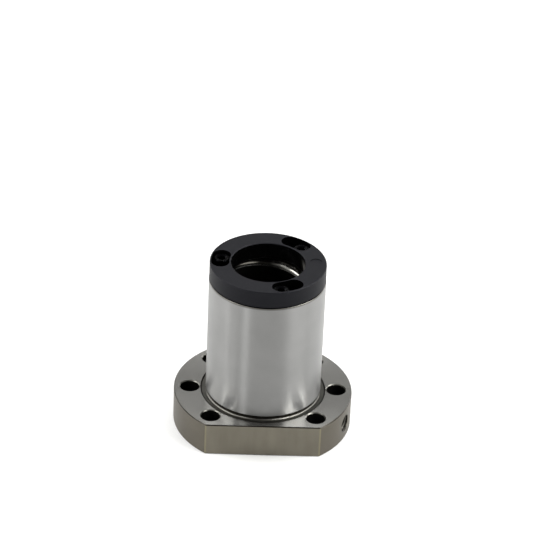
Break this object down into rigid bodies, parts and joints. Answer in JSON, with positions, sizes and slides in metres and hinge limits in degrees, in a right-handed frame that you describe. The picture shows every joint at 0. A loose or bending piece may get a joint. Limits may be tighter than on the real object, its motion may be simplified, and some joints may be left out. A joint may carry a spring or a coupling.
{
  "type": "ball screw nut",
  "caption": "Flanged ball screw nut: ground steel barrel on a flange with two flats, black end caps, and a right-hand helical ball track with its balls and return guides inside.",
  "frame": {"origin": "centre of the flange's outer face, on the screw axis", "axes": "+Z along the screw axis from the flange to the barrel's free end, +Y square to the flange's flats"},
  "size_m": [0.062, 0.048, 0.063],
  "materials": {
    "ground_steel": "ground barrel, fine turned flange",
    "black_acetal": "moulded, fine matt",
    "black_oxide_steel": "black oxide, lightly oiled",
    "ball_steel": "lapped and polished"
  },
  "bodies": {
    "root": {"nut_body": "ground_steel", "upper_end_cap": "black_acetal", "lower_end_cap": "black_acetal", "upper_return_guide_inner": "black_acetal", "upper_return_guide_outer": "black_acetal", "lower_return_guide_inner": "black_acetal", "lower_return_guide_outer": "black_acetal", "upper_cap_screws": "black_oxide_steel", "lower_cap_screws": "black_oxide_steel", "loaded_balls_turn_1": "ball_steel", "loaded_balls_turn_2": "ball_steel", "loaded_balls_turn_3": "ball_steel", "loaded_balls_turn_4": "ball_steel", "returning_balls": "ball_steel"}
  },
  "joints": []
}
